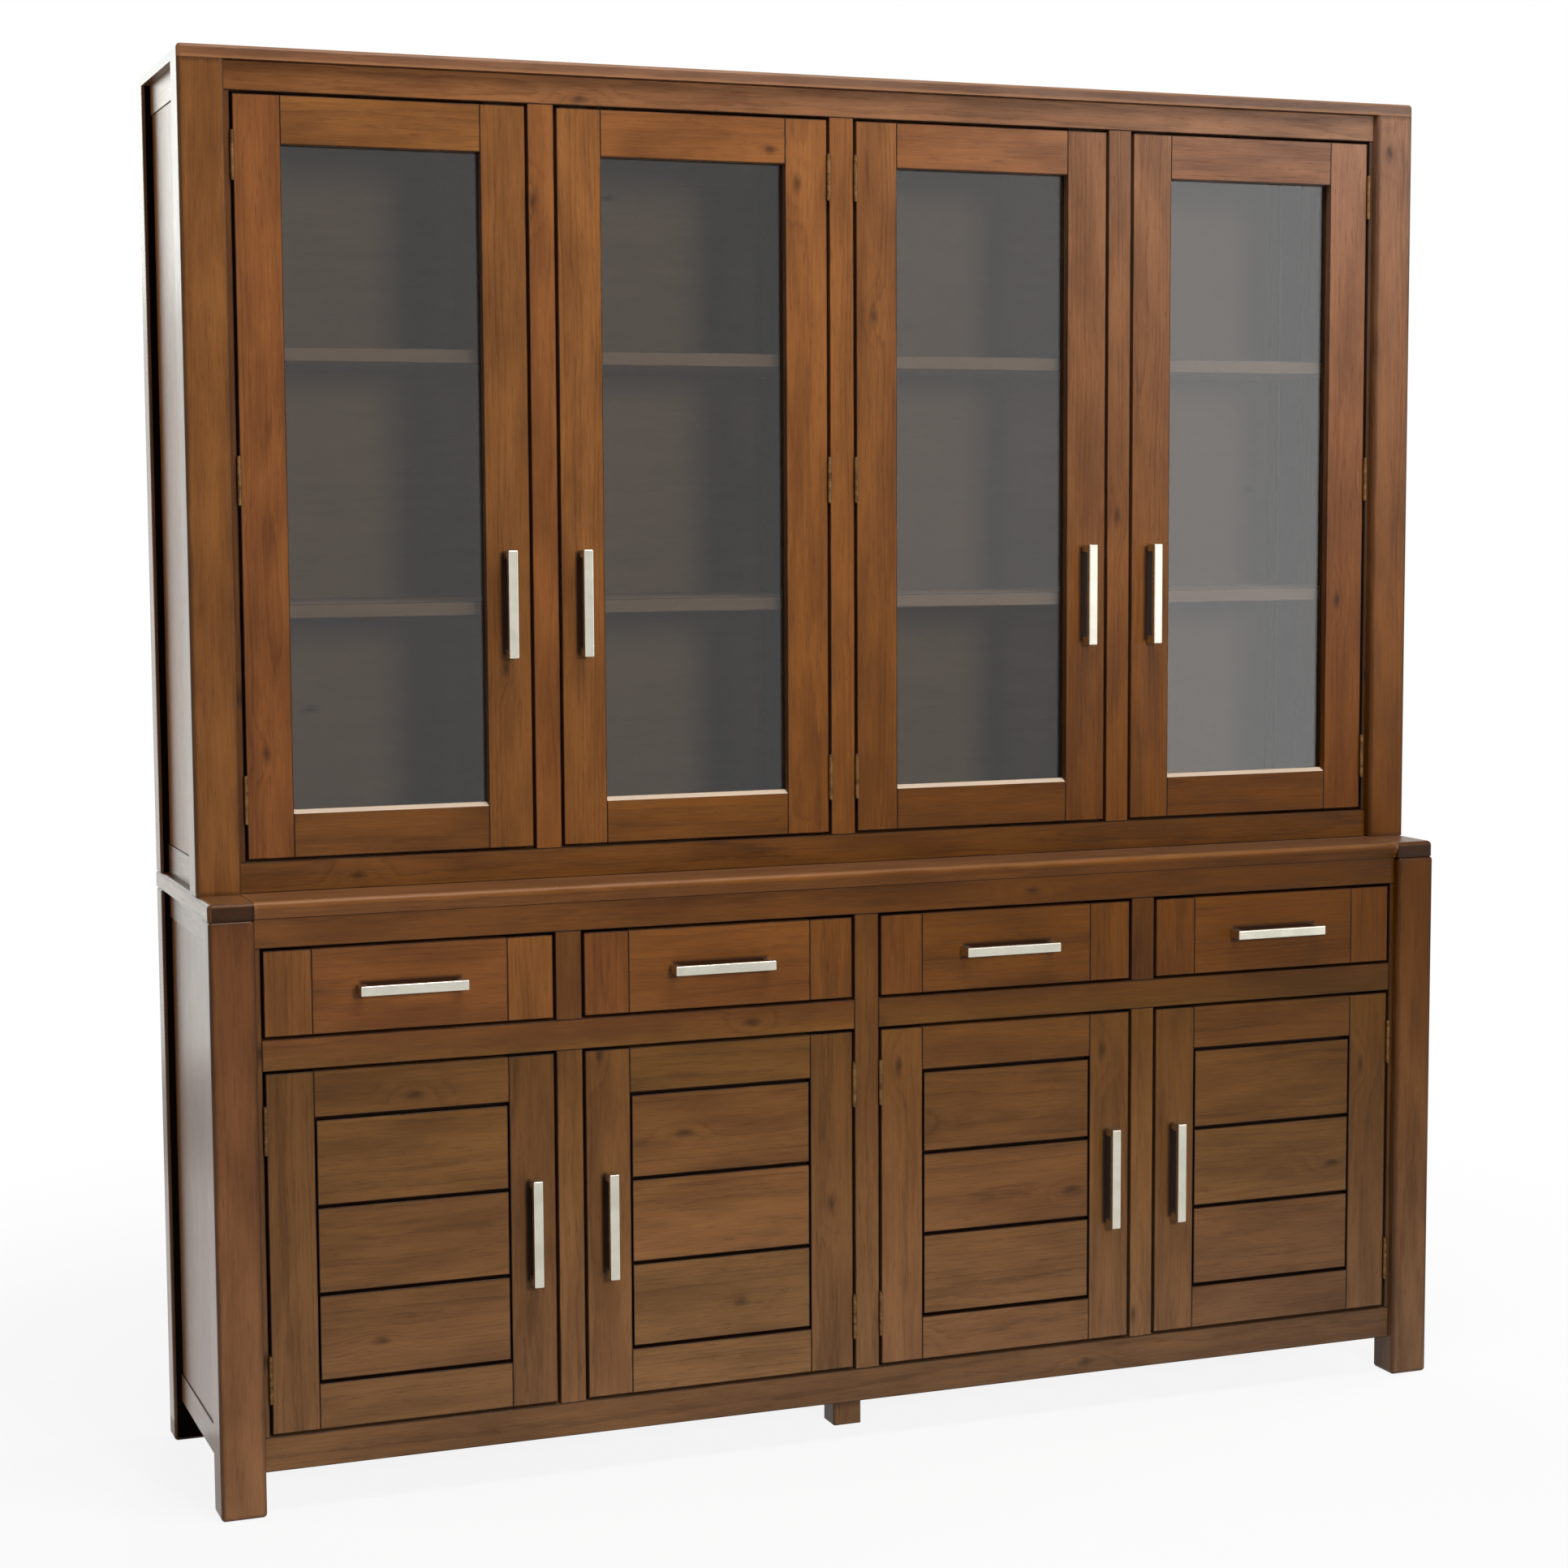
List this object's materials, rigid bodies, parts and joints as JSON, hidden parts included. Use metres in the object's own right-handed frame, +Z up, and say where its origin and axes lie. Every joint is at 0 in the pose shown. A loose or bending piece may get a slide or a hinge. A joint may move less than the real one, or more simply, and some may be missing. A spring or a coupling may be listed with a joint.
{
  "type": "dresser with hutch",
  "caption": "Wooden dresser with a glazed hutch on top: hinged glass doors over shelves, drawers on runners and plank-panelled cupboard doors below, with U-shaped metal pulls.",
  "frame": {"origin": "on the floor, under the middle of the whole piece's box", "axes": "+Z up, +X to the right seen from the front, +Y towards the back"},
  "size_m": [1.92, 0.446, 2],
  "materials": {
    "hutch_wood": "satin stained hardwood, reddish brown",
    "base_wood": "satin stained hardwood, brown",
    "inner_wood": "matt stained board",
    "pane": "clear float glass",
    "nickel": "satin nickel",
    "brass": "antique brass",
    "catch_plastic": "brown moulded plastic"
  },
  "bodies": {
    "carcass": {"base_posts": "base_wood", "base_top": "base_wood", "base_front_frame": "base_wood", "base_side_frames": "base_wood", "back_panels": "inner_wood", "bottom_boards": "inner_wood", "base_partitions": "inner_wood", "drawer_runners": "inner_wood", "centre_foot": "base_wood", "hutch_posts": "hutch_wood", "hutch_top": "hutch_wood", "hutch_front_frame": "hutch_wood", "hutch_side_frames": "hutch_wood", "hutch_partition": "inner_wood", "shelves": "inner_wood", "shelf_pins": "nickel", "hinge_frame_leaves": "brass", "hinge_pins": "brass", "magnetic_catches": "catch_plastic"},
    "glass_door_1": {"glass_door_1_frame": "hutch_wood", "glass_door_1_glass": "pane", "glass_door_1_handle": "nickel", "glass_door_1_fittings": "brass"},
    "glass_door_2": {"glass_door_2_frame": "hutch_wood", "glass_door_2_glass": "pane", "glass_door_2_handle": "nickel", "glass_door_2_fittings": "brass"},
    "glass_door_3": {"glass_door_3_frame": "hutch_wood", "glass_door_3_glass": "pane", "glass_door_3_handle": "nickel", "glass_door_3_fittings": "brass"},
    "glass_door_4": {"glass_door_4_frame": "hutch_wood", "glass_door_4_glass": "pane", "glass_door_4_handle": "nickel", "glass_door_4_fittings": "brass"},
    "cupboard_door_1": {"cupboard_door_1_leaf": "base_wood", "cupboard_door_1_handle": "nickel", "cupboard_door_1_fittings": "brass"},
    "cupboard_door_2": {"cupboard_door_2_leaf": "base_wood", "cupboard_door_2_handle": "nickel", "cupboard_door_2_fittings": "brass"},
    "cupboard_door_3": {"cupboard_door_3_leaf": "base_wood", "cupboard_door_3_handle": "nickel", "cupboard_door_3_fittings": "brass"},
    "cupboard_door_4": {"cupboard_door_4_leaf": "base_wood", "cupboard_door_4_handle": "nickel", "cupboard_door_4_fittings": "brass"},
    "drawer_1": {"drawer_1_front": "base_wood", "drawer_1_box": "inner_wood", "drawer_1_handle": "nickel"},
    "drawer_2": {"drawer_2_front": "base_wood", "drawer_2_box": "inner_wood", "drawer_2_handle": "nickel"},
    "drawer_3": {"drawer_3_front": "base_wood", "drawer_3_box": "inner_wood", "drawer_3_handle": "nickel"},
    "drawer_4": {"drawer_4_front": "base_wood", "drawer_4_box": "inner_wood", "drawer_4_handle": "nickel"}
  },
  "joints": [
    {"name": "glass_door_1_hinge", "type": "hinge", "parent": "carcass", "child": "glass_door_1", "pos_m": [-0.887, -0.11, 1.2445], "axis": [0, 0, -1], "range_deg": [0, 140]},
    {"name": "glass_door_2_hinge", "type": "hinge", "parent": "carcass", "child": "glass_door_2", "pos_m": [-0.021, -0.11, 1.2445], "axis": [0, 0, 1], "range_deg": [0, 88]},
    {"name": "glass_door_3_hinge", "type": "hinge", "parent": "carcass", "child": "glass_door_3", "pos_m": [0.021, -0.11, 1.2445], "axis": [0, 0, -1], "range_deg": [0, 88]},
    {"name": "glass_door_4_hinge", "type": "hinge", "parent": "carcass", "child": "glass_door_4", "pos_m": [0.887, -0.11, 1.2445], "axis": [0, 0, 1], "range_deg": [0, 140]},
    {"name": "cupboard_door_1_hinge", "type": "hinge", "parent": "carcass", "child": "cupboard_door_1", "pos_m": [-0.887, -0.198, 0.363], "axis": [0, 0, -1], "range_deg": [0, 140]},
    {"name": "cupboard_door_2_hinge", "type": "hinge", "parent": "carcass", "child": "cupboard_door_2", "pos_m": [-0.021, -0.198, 0.363], "axis": [0, 0, 1], "range_deg": [0, 88]},
    {"name": "cupboard_door_3_hinge", "type": "hinge", "parent": "carcass", "child": "cupboard_door_3", "pos_m": [0.021, -0.198, 0.363], "axis": [0, 0, -1], "range_deg": [0, 88]},
    {"name": "cupboard_door_4_hinge", "type": "hinge", "parent": "carcass", "child": "cupboard_door_4", "pos_m": [0.887, -0.198, 0.363], "axis": [0, 0, 1], "range_deg": [0, 140]},
    {"name": "drawer_1_slide", "type": "slide", "parent": "carcass", "child": "drawer_1", "axis": [0, -1, 0], "range_m": [0, 0.27]},
    {"name": "drawer_2_slide", "type": "slide", "parent": "carcass", "child": "drawer_2", "axis": [0, -1, 0], "range_m": [0, 0.27]},
    {"name": "drawer_3_slide", "type": "slide", "parent": "carcass", "child": "drawer_3", "axis": [0, -1, 0], "range_m": [0, 0.27]},
    {"name": "drawer_4_slide", "type": "slide", "parent": "carcass", "child": "drawer_4", "axis": [0, -1, 0], "range_m": [0, 0.27]}
  ]
}
